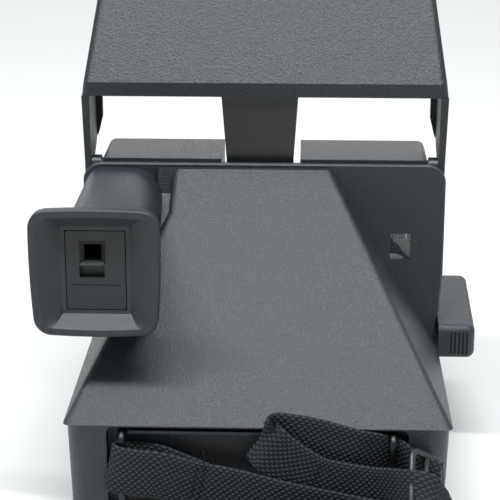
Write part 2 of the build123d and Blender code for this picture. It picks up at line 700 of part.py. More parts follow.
# ---------------------------------------------------------------- side grip block and shutter button
with BuildPart() as grip_block:
    with BuildSketch(side_plane(GRIP_OUTER)) as grip_profile:
        with BuildLine():
            Polyline((GRIP_BACK, 31), (GRIP_BACK, 42.4), (GRIP_FRONT, 47.7), (GRIP_FRONT, 33.5), close=True)
        make_face()
        fillet(grip_profile.vertices(), 2.4)
    extrude(amount=GRIP_INNER - GRIP_OUTER)
    outer_edges = grip_block.faces().sort_by(Axis.X)[0].outer_wire().edges()
    fillet(outer_edges, 2.6)
    # tongue that seats the block in the housing wall
    with BuildSketch(side_plane(GRIP_INNER)):
        with Locations((-12, 42)):
            Rectangle(19, 7)
    extrude(amount=3.0)
    # hollow for the button's stem and spring
    with BuildSketch(back_plane(-6)):
        with Locations((BUTTON_X, BUTTON_Z)):
            Circle(2.7)
    extrude(amount=40, mode=Mode.SUBTRACT)
    with BuildSketch(back_plane(GRIP_FRONT + 3.6)):
        with Locations((BUTTON_X, BUTTON_Z)):
            Circle(4.9)
    extrude(amount=10, mode=Mode.SUBTRACT)
    # upright ribs on the rear face
    with BuildSketch(back_plane(GRIP_BACK + 1)):
        with Locations((-64.3, 36.6)):
            with GridLocations(1.3, 0, 5, 1):
                Rectangle(0.6, 7.6)
    extrude(amount=1.7, mode=Mode.SUBTRACT)
grip_block.part.label = "grip_block"
export_step(grip_block.part, "parts/grip_block.step")

with BuildPart() as shutter_button:
    with BuildSketch(Plane(origin=(0, 0, 0), x_dir=(1, 0, 0), z_dir=(0, 0, 1))):
        with BuildLine():
            Polyline((0, -33.6), (3.4, -33.9), (4.5, -33.0), (4.5, -31.0), (1.5, -31.0), (1.5, -17.5),
                     (0, -17.5), close=True)
        make_face()
    revolve(axis=Axis.Y)
shutter_button.part = shutter_button.part.moved(Location((BUTTON_X, 0, BUTTON_Z)))
shutter_button.part.label = "shutter_button"
export_step(shutter_button.part, "parts/shutter_button.step")

with BuildPart() as button_spring:
    with BuildLine():
        coil = Helix(pitch=1.6, height=8.0, radius=2.0, center=(BUTTON_X, -16.0, BUTTON_Z), direction=(0, 1, 0))
    with BuildSketch(Plane(origin=coil @ 0, z_dir=coil % 0)):
        Circle(0.25)
    sweep(path=coil)
button_spring.part.label = "button_spring"
export_step(button_spring.part, "parts/button_spring.step")

# ---------------------------------------------------------------- flash cover


def cover_solid(inset):
    """The raised cover: side profile crossed with its tapered front outline."""
    lean = tan(radians(COVER_LEAN))
    top_y = COVER_BACK - (COVER_HIGH - STRIP_TOP) * lean
    low = COVER_LOW - (1 if inset else 0)
    with BuildPart() as cover:
        with BuildSketch(side_plane(0)) as profile:
            with BuildLine():
                Polyline(
                    (COVER_BACK, COVER_LOW),
                    (COVER_BACK, STRIP_TOP),
                    (top_y, COVER_HIGH),
                    (COVER_FRONT, COVER_HIGH),
                    (COVER_FRONT, COVER_LOW),
                    close=True,
                )
            make_face()
            if inset:
                offset(amount=-inset)
            crest = [v for v in profile.vertices() if v.Y > COVER_HIGH - 1 - inset]
            fillet(crest, 3.5 - inset)
        extrude(amount=70, both=True)
        with BuildSketch(back_plane(20)):
            Polygon(
                (COVER_HALF_LOW - inset, low),
                (COVER_HALF_HIGH - inset, COVER_HIGH + 1),
                (-COVER_HALF_HIGH + inset, COVER_HIGH + 1),
                (-COVER_HALF_LOW + inset, low),
                align=None,
            )
        extrude(amount=90, mode=Mode.INTERSECT)
        if not inset:
            sides = cover.faces().filter_by(lambda f: abs(f.normal_at().X) > 0.9)
            edges = [e for f in sides for e in f.edges() if e.center().Z > COVER_LOW + 0.5]
            fillet(edges, 2.6)
    return cover.part


COVER = cover_solid(0.0)
COVER_INSIDE = cover_solid(2.0)
FLASH_W, FLASH_H, FLASH_Z = 62.0, 19.0, 133.0
with BuildPart() as flash_cover_shell:
    add(COVER)
    add(COVER_INSIDE, mode=Mode.SUBTRACT)
    # underside open for the chassis plate
    with BuildSketch(Plane.XY.offset(COVER_LOW - 1)):
        with Locations((0, (COVER_BACK + COVER_FRONT) / 2)):
            Rectangle(2 * (COVER_HALF_LOW - 2.4), COVER_BACK - COVER_FRONT - 4.4)
    extrude(amount=5, mode=Mode.SUBTRACT)
    with BuildSketch(back_plane(COVER_FRONT + 4)):
        with Locations((0, FLASH_Z)):
            RectangleRounded(FLASH_W, FLASH_H, 2)
    extrude(amount=8, mode=Mode.SUBTRACT)
flash_cover_shell.part.label = "flash_cover_shell"
export_step(flash_cover_shell.part, "parts/flash_cover_shell.step")

BEZEL_SPOT = (LENS_X, HINGE_Y + LENS_Z - HINGE_Z)     # where the lens meets the shut cover
with BuildPart() as flash_chassis:
    with BuildSketch(Plane.XY.offset(COVER_LOW)):
        with Locations((0, (COVER_BACK + COVER_FRONT) / 2)):
            Rectangle(2 * 54.0, COVER_BACK - COVER_FRONT - 4.8)
    extrude(amount=1.8)
    # rim and the wall of a dish that clears the lens bezel when the cover is shut
    with BuildSketch(Plane.XY.offset(COVER_LOW + 1.8)):
        with Locations((0, -25.2)):
            Rectangle(2 * 54.0, 39.6)
            Rectangle(2 * 52.4, 36.4, mode=Mode.SUBTRACT)
        with Locations(BEZEL_SPOT):
            Circle(18.6)
        with Locations((0, -25.2)):
            Rectangle(2 * 54.0, 39.6, mode=Mode.INTERSECT)
    extrude(amount=4.4)
    with BuildSketch(Plane.XY.offset(COVER_LOW - 0.1)):
        with Locations(BEZEL_SPOT):
            Circle(17.2)
    extrude(amount=4.6, mode=Mode.SUBTRACT)
flash_chassis.part.label = "flash_chassis"
export_step(flash_chassis.part, "parts/flash_chassis.step")

with BuildPart() as hinge_neck:
    with BuildSketch(back_plane(-1.0)):
        with BuildLine():
            Polyline((-9.4, 91.0), (-9.4, 96.0), (-10.8, COVER_LOW), (13.9, COVER_LOW), (12.3, 96.0), (12.3, 91.0),
                     close=True)
        make_face()
    extrude(amount=5.0)
    fillet(hinge_neck.edges().filter_by(Axis.X).group_by(Axis.Z)[0], 1.8)
    with BuildSketch(back_plane(-6.2)):
        with Locations((1.5, 104)):
            RectangleRounded(15, 18, 2)
    extrude(amount=-2.0, mode=Mode.SUBTRACT)
hinge_neck.part.label = "hinge_neck"
export_step(hinge_neck.part, "parts/hinge_neck.step")

for side, name in ((1, "cover_arm_left"), (-1, "cover_arm_right")):
    with BuildPart() as arm:
        with BuildSketch(back_plane(0.5)) as face_outline:
            Polygon(
                (side * 56.3, 89.8),
                (side * 56.3, COVER_LOW),
                (side * 58.9, COVER_LOW),
                (side * 58.3, 95.0),
                (side * 58.3, 89.8),
                align=None,
            )
        extrude(amount=20.5)
        with BuildSketch(back_plane(-18.0)):
            Polygon(
                (side * 54.4, 106.0),
                (side * 54.4, COVER_LOW),
                (side * 56.3, COVER_LOW),
                (side * 56.3, 98.5),
                align=None,
            )
        extrude(amount=2.0)
        # round lower end about the hinge, sloping up to the front edge
        with BuildSketch(side_plane(0)) as side_view:
            with BuildLine():
                Polyline(
                    (HINGE_Y + 2.5, COVER_LOW + 2),
                    (HINGE_Y + 2.5, HINGE_Z - 1.6),
                    (HINGE_Y + 0.6, HINGE_Z - 3.6),
                    (HINGE_Y - 2.2, HINGE_Z - 3.6),
                    (HINGE_Y - 6.5, HINGE_Z - 0.5),
                    (-20.0, 101.0),
                    (-20.0, COVER_LOW + 2),
                    close=True,
                )
            make_face()
        extrude(amount=70, both=True, mode=Mode.INTERSECT)
        with BuildSketch(side_plane(side * 50)):
            with Locations((HINGE_Y, HINGE_Z)):
                Circle(2.06)
        extrude(amount=side * 12, mode=Mode.SUBTRACT)
    arm.part.label = name
    export_step(arm.part, f"parts/{name}.step")

with BuildPart() as hinge_pins:
    for side in (-1, 1):
        with BuildSketch(side_plane(side * (PIN_X - 0.7))):
            with Locations((HINGE_Y, HINGE_Z)):
                Circle(2.0)
        extrude(amount=-side * 9.0)
        # stepped shoulder that fills the gap between housing and arm
        with BuildSketch(side_plane(side * (POCKET_HALF + 3.1))):
            with Locations((HINGE_Y, HINGE_Z)):
                Circle(2.9)
        extrude(amount=-side * 3.0)
hinge_pins.part.label = "hinge_pins"
export_step(hinge_pins.part, "parts/hinge_pins.step")

with BuildPart() as flash_window:
    with BuildSketch(back_plane(COVER_FRONT + 1.9)):
        with Locations((0, FLASH_Z)):
            RectangleRounded(FLASH_W - 0.4, FLASH_H - 0.4, 1.8)
    extrude(amount=1.7)
    with BuildSketch(back_plane(COVER_FRONT + 1.9)):
        with Locations((0, FLASH_Z)):
            with GridLocations(3.0, 0, 19, 1):
                Rectangle(1.2, FLASH_H - 3)
    extrude(amount=0.5, mode=Mode.SUBTRACT)
flash_window.part.label = "flash_window"
export_step(flash_window.part, "parts/flash_window.step")

with BuildPart() as flash_reflector:
    with BuildSketch(side_plane(-29)) as bowl:
        with BuildLine():
            ThreePointArc((-45.8, FLASH_Z + 8.6), (-37.0, FLASH_Z), (-45.8, FLASH_Z - 8.6))
            Line((-45.8, FLASH_Z - 8.6), (-45.8, FLASH_Z - 7.8))
            ThreePointArc((-45.8, FLASH_Z - 7.8), (-37.9, FLASH_Z), (-45.8, FLASH_Z + 7.8))
            Line((-45.8, FLASH_Z + 7.8), (-45.8, FLASH_Z + 8.6))
        make_face()
    extrude(amount=58)
flash_reflector.part.label = "flash_reflector"
export_step(flash_reflector.part, "parts/flash_reflector.step")

with BuildPart() as flash_tube:
    with BuildSketch(side_plane(-28)):
        with Locations((-40.5, FLASH_Z)):
            Circle(1.6)
    extrude(amount=56)
flash_tube.part.label = "flash_tube"
export_step(flash_tube.part, "parts/flash_tube.step")

with BuildPart() as flash_capacitor:
    with BuildSketch(side_plane(-34)):
        with Locations((-23, 136.5)):
            Circle(8.0)
    extrude(amount=36)
    fillet(flash_capacitor.edges().filter_by(GeomType.CIRCLE), 0.8)
flash_capacitor.part.label = "flash_capacitor"
export_step(flash_capacitor.part, "parts/flash_capacitor.step")

# ---------------------------------------------------------------- film door
with BuildPart() as film_door:
    add(HULL)
    add(HULL_INSIDE, mode=Mode.SUBTRACT)
    with BuildSketch(side_plane(0)):
        with BuildLine():
            Polyline((95, 0), (95, 60), (DOOR_Y - 0.3, 60), (DOOR_Y - 0.3, 8.5), (-52.5, 3.0), (-52.5, 0), close=True)
        make_face()
    extrude(amount=80, both=True, mode=Mode.SUBTRACT)
    # picture exit slot
    with BuildSketch(back_plane(FRONT_Y + 6)):
        with Locations((0, 24.0)):
            SlotOverall(93, 5.4)
    extrude(amount=12, mode=Mode.SUBTRACT)
    # grip grooves along the top of the nose
    with BuildSketch(side_plane(-34)):
        with Locations(*[(y, 43.55 - (abs(y) - 50) * 0.10) for y in (-50, -53, -56, -59)]):
            Circle(0.7)
    extrude(amount=68, mode=Mode.SUBTRACT)
    # hinge knuckles
    for x in (-44, 38):
        with BuildSketch(side_plane(x)):
            with Locations((DOOR_HINGE_Y, DOOR_HINGE_Z)):
                Circle(2.1)
            with Locations((DOOR_HINGE_Y - 3.4, DOOR_HINGE_Z + 0.2)):
                Rectangle(5.2, 2.6)
            with Locations((DOOR_HINGE_Y, DOOR_HINGE_Z)):
                Circle(1.05, mode=Mode.SUBTRACT)
        extrude(amount=6)
film_door.part.label = "film_door"
export_step(film_door.part, "parts/film_door.step")

with BuildPart() as door_pins:
    for x in (-47, 35):
        with BuildSketch(side_plane(x)):
            with Locations((DOOR_HINGE_Y, DOOR_HINGE_Z)):
                Circle(1.0)
        extrude(amount=12)
        # ears that carry the pin, standing on the base floor
        for ear in (x, x + 10):
            with BuildSketch(side_plane(ear)):
                with Locations((DOOR_HINGE_Y, DOOR_HINGE_Z)):
                    Circle(1.9)
                with BuildLine():
                    Polyline(
                        (DOOR_HINGE_Y, DOOR_HINGE_Z - 1.9),
                        (DOOR_HINGE_Y, DOOR_HINGE_Z + 1.9),
                        (-42.5, DOOR_HINGE_Z + 1.3),
                        (-42.5, FLOOR_Z + 2.02),
                        (-45.1, FLOOR_Z + 2.02),
                        (-45.1, DOOR_HINGE_Z - 1.9),
                        close=True,
                    )
                make_face()
            extrude(amount=2.0)
door_pins.part.label = "door_pins"
export_step(door_pins.part, "parts/door_pins.step")

with BuildPart() as door_latch:
    with BuildSketch(side_plane(53.0)):
        with Locations((-34, 24)):
            SlotOverall(14, 9.5)
    extrude(amount=1.2)
    with BuildSketch(side_plane(54.0)):
        with Locations((-34, 24)):
            SlotOverall(10.5, 6.4)
    extrude(amount=4.2)
    with BuildSketch(side_plane(58.6)):
        with Locations((-34, 24)):
            with GridLocations(2.0, 0, 4, 1):
                Rectangle(0.8, 7)
    extrude(amount=-0.8, mode=Mode.SUBTRACT)
door_latch.part.label = "door_latch"
export_step(door_latch.part, "parts/door_latch.step")

with BuildPart() as roller_bearings:
    for x in (-50.1, 47.3):
        with BuildSketch(side_plane(x)):
            with Locations((ROLLER_Y, ROLLER_Z + 4)):
                RectangleRounded(11, 20, 2)
            with Locations((ROLLER_Y, ROLLER_Z), (ROLLER_Y, ROLLER_Z + 8)):
                Circle(2.05, mode=Mode.SUBTRACT)
        extrude(amount=2.8)
        # arm down to the door floor
        with BuildSketch(side_plane(x)):
            with Locations((ROLLER_Y - 1, 9.6)):
                Rectangle(7, 9)
        extrude(amount=2.8)
roller_bearings.part.label = "roller_bearings"
export_step(roller_bearings.part, "parts/roller_bearings.step")

for name, z, reach in (("lower_roller", ROLLER_Z, 52.4), ("upper_roller", ROLLER_Z + 8, 52.4)):
    with BuildPart() as roller:
        with BuildSketch(side_plane(-46.4)):
            with Locations((ROLLER_Y, z)):
                Circle(ROLLER_R)
        extrude(amount=92.8)
        chamfer(roller.edges().filter_by(GeomType.CIRCLE), 0.4)
        with BuildSketch(side_plane(-reach)):
            with Locations((ROLLER_Y, z)):
                Circle(1.4)
        extrude(amount=3)
        with BuildSketch(side_plane(-50.5)):
            with Locations((ROLLER_Y, z)):
                Circle(2.0)
        extrude(amount=101)
    roller.part.label = name
    export_step(roller.part, f"parts/{name}.step")

# ---------------------------------------------------------------- gear train


def gear_face(teeth, module, centre, phase, bore):
    """Outline of a spur gear in the current sketch; phase is the angle of one tooth, in degrees."""
    pitch = teeth * module / 2
    root, tip = pitch - 1.2 * module, pitch + 0.9 * module
    base_half = degrees(0.78 * module / root)
    tip_half = degrees(0.30 * module / tip)
    with Locations(centre):
        Circle(root)
        for index in range(teeth):
            turn = phase + index * 360 / teeth
            corners = [
                (radius * cos(radians(turn + spread)), radius * sin(radians(turn + spread)))
                for radius, spread in ((root * 0.98, -base_half), (tip, -tip_half), (tip, tip_half),
                                       (root * 0.98, base_half))
            ]
            Polygon(*corners, align=None)
        Circle(bore, mode=Mode.SUBTRACT)


def next_centre(centre, distance, angle):
    """Centre of the next gear along the train, at this distance and angle in the YZ plane."""
    return (centre[0] + distance * cos(radians(angle)), centre[1] + distance * sin(radians(angle)))


def next_phase(teeth, phase, angle, next_teeth):
    """Phase of the next gear so that a gap faces each tooth of the one before it."""
    share = ((angle - phase) * teeth / 360) % 1
    return angle + 180 - (0.5 - share) * 360 / next_teeth


ROLLER_TEETH, FRONT_TEETH, REAR_TEETH, SMALL_TEETH, LARGE_TEETH, PINION_TEETH = 10, 20, 22, 14, 36, 9
TRAIN_ANGLES = (-29.0, 61.5, 13.5, 41.0)
lower_centre = (ROLLER_Y, ROLLER_Z)
upper_centre = (ROLLER_Y, ROLLER_Z + 8)
front_centre = next_centre(lower_centre, (ROLLER_TEETH + FRONT_TEETH) * PITCH_M / 2, TRAIN_ANGLES[0])
rear_centre = next_centre(front_centre, (FRONT_TEETH + REAR_TEETH) * PITCH_M / 2, TRAIN_ANGLES[1])
stage_centre = next_centre(rear_centre, (REAR_TEETH + SMALL_TEETH) * PITCH_M / 2, TRAIN_ANGLES[2])
pinion_centre = next_centre(stage_centre, (LARGE_TEETH + PINION_TEETH) * MOTOR_M / 2, TRAIN_ANGLES[3])
lower_phase = 0.0
upper_phase = next_phase(ROLLER_TEETH, lower_phase, 90.0, ROLLER_TEETH)
front_phase = next_phase(ROLLER_TEETH, lower_phase, TRAIN_ANGLES[0], FRONT_TEETH)
rear_phase = next_phase(FRONT_TEETH, front_phase, TRAIN_ANGLES[1], REAR_TEETH)
small_phase = next_phase(REAR_TEETH, rear_phase, TRAIN_ANGLES[2], SMALL_TEETH)
pinion_phase = next_phase(LARGE_TEETH, 0.0, TRAIN_ANGLES[3], PINION_TEETH)

TRAIN = (
    ("lower_roller_gear", ROLLER_TEETH, lower_centre, lower_phase, 1.42),
    ("upper_roller_gear", ROLLER_TEETH, upper_centre, upper_phase, 1.42),
    ("idler_gear_front", FRONT_TEETH, front_centre, front_phase, 1.05),
    ("idler_gear_rear", REAR_TEETH, rear_centre, rear_phase, 1.05),
)
for name, teeth, centre, phase, bore in TRAIN:
    with BuildPart() as gear:
        with BuildSketch(side_plane(GEAR_X)):
            gear_face(teeth, PITCH_M, centre, phase, bore)
        extrude(amount=GEAR_W)
    gear.part.label = name
    export_step(gear.part, f"parts/{name}.step")

with BuildPart() as reduction_gear:
    with BuildSketch(side_plane(GEAR_X)):
        gear_face(SMALL_TEETH, PITCH_M, stage_centre, small_phase, 1.05)
    extrude(amount=GEAR_W)
    with BuildSketch(side_plane(GEAR_X - LARGE_W)):
        gear_face(LARGE_TEETH, MOTOR_M, stage_centre, 0.0, 1.05)
    extrude(amount=LARGE_W)
reduction_gear.part.label = "reduction_gear"
export_step(reduction_gear.part, "parts/reduction_gear.step")

with BuildPart() as motor_pinion:
    with BuildSketch(side_plane(GEAR_X - LARGE_W)):
        gear_face(PINION_TEETH, MOTOR_M, pinion_centre, pinion_phase, 0.8)
    extrude(amount=LARGE_W + 0.8)
motor_pinion.part.label = "motor_pinion"
export_step(motor_pinion.part, "parts/motor_pinion.step")

with BuildPart() as gear_axles:
    for centre, outer in ((front_centre, -53.4), (rear_centre, -53.8), (stage_centre, -54.6)):
        with BuildSketch(side_plane(outer)):
            with Locations(centre):
                Circle(1.0)
        extrude(amount=-50.15 - outer)
gear_axles.part.label = "gear_axles"
export_step(gear_axles.part, "parts/gear_axles.step")

with BuildPart() as motor:
    with BuildSketch(side_plane(-50.2)):
        with Locations(pinion_centre):
            Circle(5.4)
    extrude(amount=20)
    fillet(motor.edges().filter_by(GeomType.CIRCLE), 0.8)
    with BuildSketch(side_plane(-53.5)):
        with Locations(pinion_centre):
            Circle(0.75)
    extrude(amount=3.6)
    with BuildSketch(side_plane(-30.2)):
        with Locations(pinion_centre):
            Circle(2.2)
    extrude(amount=1.4)
motor.part.label = "motor"
export_step(motor.part, "parts/motor.step")

with BuildPart() as circuit_board:
    with Locations((11, -35, 31.6)):
        Box(70, 17, 1.6)
    with Locations((-12, -36, 34.4), (30, -38, 33.6)):
        Box(14, 8, 4.0)
    with Locations((8, -34, 35.4), (17, -34, 35.4)):
        Cylinder(3.4, 6.0)
circuit_board.part.label = "circuit_board"
export_step(circuit_board.part, "parts/circuit_board.step")

# ---------------------------------------------------------------- strap bars, strap and slider
for side, name in ((1, "strap_bar_left"), (-1, "strap_bar_right")):
    with BuildPart() as bar:
        x = side * STRAP_BAR_X
        with BuildLine() as staple:
            FilletPolyline(
                (x, 71.2, 32.0),
                (x, STRAP_BAR_Y, 32.0),
                (x, STRAP_BAR_Y, 10.8),
                (x, 71.2, 10.8),
                radius=2.2,
            )
        with BuildSketch(Plane(origin=(x, 71.2, 32.0), z_dir=(0, 1, 0))):
            Circle(1.25)
        sweep(path=staple.line)
    bar.part.label = name
    export_step(bar.part, f"parts/{name}.step")


def strap_band(points_low, points_high):
    """A flat band seen from behind: its lower edge from left to right, then its upper edge back."""
    Polygon(*points_low, *reversed(points_high), align=None)


with BuildPart() as strap_left:
    with BuildSketch(back_plane(80.2)):
        strap_band(
            [(43.2, 15.6), (15.0, 11.0), (-12.8, 3.4), (-26, 0.6)],
            [(43.2, 31.2), (15.1, 26.4), (-12.8, 18.9), (-26, 15.4)],
        )
    extrude(amount=2.8)
    with BuildSketch(back_plane(80.2)):
        strap_band([(43.2, 15.6), (41.8, 15.4)], [(43.2, 31.2), (41.8, 31.0)])
    extrude(amount=7.4)
    with BuildSketch(back_plane(74.2)):
        strap_band([(43.2, 15.6), (30.0, 13.4)], [(43.2, 31.2), (30.0, 29.0)])
    extrude(amount=1.4)
strap_left.part.label = "strap_left"
export_step(strap_left.part, "parts/strap_left.step")

with BuildPart() as strap_right:
    # layer next to the body, from the fold to the right strap bar
    with BuildSketch(back_plane(82.4)):
        strap_band([(-2.0, 26.5), (-20, 24.0), (-37.4, 20.8)], [(-2.0, 41.0), (-20, 39.0), (-37.4, 36.0)])
    extrude(amount=1.4)
    # layer nearer the user, back to the slider
    with BuildSketch(back_plane(88.4)):
        strap_band([(1.0, 28.0), (-20, 18.0), (-46, 13.0)], [(-2.0, 41.0), (-20, 33.5), (-46, 28.5)])
    extrude(amount=1.4)
    # the fold between them
    with BuildSketch(back_plane(88.4)):
        strap_band([(1.0, 28.0), (-2.6, 28.0)], [(-1.0, 41.0), (-3.6, 41.0)])
    extrude(amount=7.4)
strap_right.part.label = "strap_right"
export_step(strap_right.part, "parts/strap_right.step")

with BuildPart() as strap_slider:
    tip_plane = Plane(origin=(-52, 82.5, 24.5), x_dir=(0.62, 0.2, -0.76), z_dir=(0.35, 0.86, 0.37))
    with BuildSketch(tip_plane):
        RectangleRounded(20, 15, 3)
        RectangleRounded(16.4, 11.4, 1.6, mode=Mode.SUBTRACT)
        Rectangle(2.2, 14)
    extrude(amount=1.1, both=True)
strap_slider.part.label = "strap_slider"
export_step(strap_slider.part, "parts/strap_slider.step")

with BuildPart() as strap_hank:
    with BuildSketch(Plane.XY.offset(0.3)):
        with Locations((-12, 92.5)):
            RectangleRounded(66, STRAP_W, 2)
    extrude(amount=12.6)
strap_hank.part.label = "strap_hank"
export_step(strap_hank.part, "parts/strap_hank.step")

print("gear centres", [tuple(round(v, 3) for v in c) for c in
                       (lower_centre, upper_centre, front_centre, rear_centre, stage_centre, pinion_centre)])
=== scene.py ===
"""An instant camera with its flash cover raised, seen from behind."""
import json
from math import cos, pi, radians, sin

import bpy
import numpy as np
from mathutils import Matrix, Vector


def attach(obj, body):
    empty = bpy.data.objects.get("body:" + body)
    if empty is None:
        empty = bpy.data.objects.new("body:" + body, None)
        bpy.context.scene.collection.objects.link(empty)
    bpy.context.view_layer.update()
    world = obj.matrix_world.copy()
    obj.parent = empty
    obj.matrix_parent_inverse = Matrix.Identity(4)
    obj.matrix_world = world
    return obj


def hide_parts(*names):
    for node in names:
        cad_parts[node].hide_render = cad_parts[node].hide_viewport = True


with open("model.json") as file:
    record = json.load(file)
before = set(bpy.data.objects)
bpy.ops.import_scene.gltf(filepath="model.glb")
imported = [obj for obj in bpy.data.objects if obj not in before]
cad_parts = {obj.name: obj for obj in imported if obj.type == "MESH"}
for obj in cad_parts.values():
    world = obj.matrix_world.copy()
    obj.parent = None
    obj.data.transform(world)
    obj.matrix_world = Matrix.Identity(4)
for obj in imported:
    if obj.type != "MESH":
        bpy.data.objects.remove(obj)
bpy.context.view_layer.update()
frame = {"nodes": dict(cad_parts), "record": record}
NODES = frame["nodes"]
MM = 0.001

# ---------------------------------------------------------------- camera, world and light
CAMERA_PLACE = Vector((-13.92, 532.51, 238.56)) * MM
CAMERA_YAW = radians(-2)
CAMERA_PITCH = radians(18)
SENSOR_WIDTH = 36
FOCAL_PER_WIDTH = 3.4
CLIP_START, CLIP_END = 0.01, 50
WORLD_COLOUR = (0.98, 0.99, 1.0, 1)
WORLD_STRENGTH = 0.38

camera_data = bpy.data.cameras.new("view_camera")
camera_data.sensor_width = SENSOR_WIDTH
camera_data.lens = SENSOR_WIDTH * FOCAL_PER_WIDTH
camera_data.clip_start = CLIP_START
camera_data.clip_end = CLIP_END
camera = bpy.data.objects.new("view_camera", camera_data)
bpy.context.scene.collection.objects.link(camera)
forward = Vector((
    -sin(CAMERA_YAW) * cos(CAMERA_PITCH),
    -cos(CAMERA_YAW) * cos(CAMERA_PITCH),
    -sin(CAMERA_PITCH),
))
camera.location = CAMERA_PLACE
camera.rotation_mode = "QUATERNION"
camera.rotation_quaternion = forward.to_track_quat("-Z", "Y")
bpy.context.scene.camera = camera
bpy.context.scene.view_settings.view_transform = "Standard"

world = bpy.data.worlds.new("studio_world")
bpy.context.scene.world = world
world.use_nodes = True
background = world.node_tree.nodes["Background"].inputs
background["Color"].default_value = WORLD_COLOUR
background["Strength"].default_value = WORLD_STRENGTH


def area_light(name, place, target, size, energy, colour):
    """A rectangular lamp at place, turned to face target."""
    data = bpy.data.lights.new(name, "AREA")
    data.shape = "RECTANGLE"
    data.size, data.size_y = size
    data.energy = energy
    data.color = colour
    lamp = bpy.data.objects.new(name, data)
    bpy.context.scene.collection.objects.link(lamp)
    lamp.location = place
    lamp.rotation_mode = "QUATERNION"
    lamp.rotation_quaternion = (Vector(target) - Vector(place)).to_track_quat("-Z", "Y")


# a long narrow strip overhead toward the viewer, a weak wide panel above,
# and a low wide card on the far side of the object
area_light("key_strip", place=(0.05, 0.40, 1.25), target=(0.0, 0.03, 0.06), size=(1.5, 0.07),
           energy=29, colour=(0.91, 0.96, 1.0))
area_light("soft_top", place=(-0.1, -0.15, 1.3), target=(0.0, -0.05, 0.0), size=(1.2, 0.9),
           energy=5, colour=(1.0, 1.0, 1.0))
area_light("low_card", place=(0.0, -2.0, 0.72), target=(0.0, 0.0, 0.08), size=(2.6, 0.8),
           energy=15, colour=(0.95, 0.98, 1.0))


# ---------------------------------------------------------------- small helpers
def new_object(name, vertices, faces, smooth=True):
    mesh = bpy.data.meshes.new(name)
    mesh.from_pydata([tuple(v) for v in vertices], [], faces)
    mesh.update()
    if smooth:
        mesh.shade_smooth()
    piece = bpy.data.objects.new(name, mesh)
    bpy.context.scene.collection.objects.link(piece)
    return piece


def band_faces(start, rings, sides, closed=False):
    """Quads between each ring of vertices and the next; closed joins the last ring to the first."""
    faces = []
    for i in range(rings if closed else rings - 1):
        here, ahead = start + i * sides, start + (i + 1) % rings * sides
        for j in range(sides):
            k = (j + 1) % sides
            faces.append((here + j, here + k, ahead + k, ahead + j))
    return faces


def end_caps(start, rings, sides):
    """One face over the first ring and one over the last."""
    last = start + (rings - 1) * sides
    return [tuple(start + k for k in reversed(range(sides))), tuple(last + k for k in range(sides))]


# ---------------------------------------------------------------- materials
# the colour sockets of Blender's mix node share their names, so they go by number
MIX_FACTOR, MIX_FIRST, MIX_SECOND, MIX_RESULT = 0, 6, 7, 2


class Shader:
    """A node material with one Principled shader, in object coordinates."""

    def __init__(self, name, colour, roughness, specular=0.5):
        self.material = bpy.data.materials.new(name)
        self.material.use_nodes = True
        self.tree = self.material.node_tree
        self.bsdf = next(n for n in self.tree.nodes if n.type == "BSDF_PRINCIPLED")
        self.set("Base Color", (*colour, 1))
        self.set("Roughness", roughness)
        self.set("Specular IOR Level", specular)
        self.coords = self.node("ShaderNodeTexCoord").outputs["Object"]

    def set(self, socket, value):
        self.bsdf.inputs[socket].default_value = value

    def link(self, output, socket):
        self.tree.links.new(output, self.bsdf.inputs[socket])

    def node(self, kind, inputs=None, **settings):
        """A new node; an input is linked if it is a socket, and set otherwise."""
        made = self.tree.nodes.new(kind)
        for key, value in settings.items():
            setattr(made, key, value)
        for key, value in (inputs or {}).items():
            if isinstance(value, bpy.types.NodeSocket):
                self.tree.links.new(value, made.inputs[key])
            else:
                made.inputs[key].default_value = value
        return made

    def math(self, operation, a, b=0.0, c=None):
        inputs = {0: a, 1: b}
        if c is not None:
            inputs[2] = c
        return self.node("ShaderNodeMath", inputs, operation=operation).outputs[0]

    def scaled(self, scale):
        return self.node("ShaderNodeMapping", {"Vector": self.coords, "Scale": scale}).outputs[0]

    def noise(self, scale, detail=2.0, roughness=0.5, vector=None):
        inputs = {
            "Vector": vector or self.coords, "Scale": scale,
            "Detail": detail, "Roughness": roughness,
        }
        return self.node("ShaderNodeTexNoise", inputs).outputs["Fac"]

    def ramp(self, value, low, high, to_low, to_high):
        inputs = {
            "Value": value, "From Min": low, "From Max": high,
            "To Min": to_low, "To Max": to_high,
        }
        return self.node("ShaderNodeMapRange", inputs).outputs[0]

    def mix(self, factor, first, second):
        inputs = {MIX_FACTOR: factor, MIX_FIRST: (*first, 1), MIX_SECOND: (*second, 1)}
        return self.node("ShaderNodeMix", inputs, data_type="RGBA").outputs[MIX_RESULT]

    def bump(self, height, strength, distance):
        inputs = {"Height": height, "Strength": strength, "Distance": distance}
        return self.node("ShaderNodeBump", inputs).outputs["Normal"]


def moulded(name, dark, light, roughness, grain, depth, mottle=900):
    """Moulded plastic with a spark-eroded grain, depth mm deep, and faint mottling."""
    s = Shader(name, dark, roughness)
    tone = s.ramp(s.noise(mottle, 4.0, 0.6), 0.35, 0.65, 0.0, 1.0)
    s.link(s.mix(tone, dark, light), "Base Color")
    fine = s.noise(grain, 3.0, 0.65)
    rough = s.ramp(fine, 0.3, 0.7, roughness + 0.10, roughness - 0.10)
    s.link(rough, "Roughness")
    s.link(s.bump(fine, 1.0, depth * MM), "Normal")
    return s


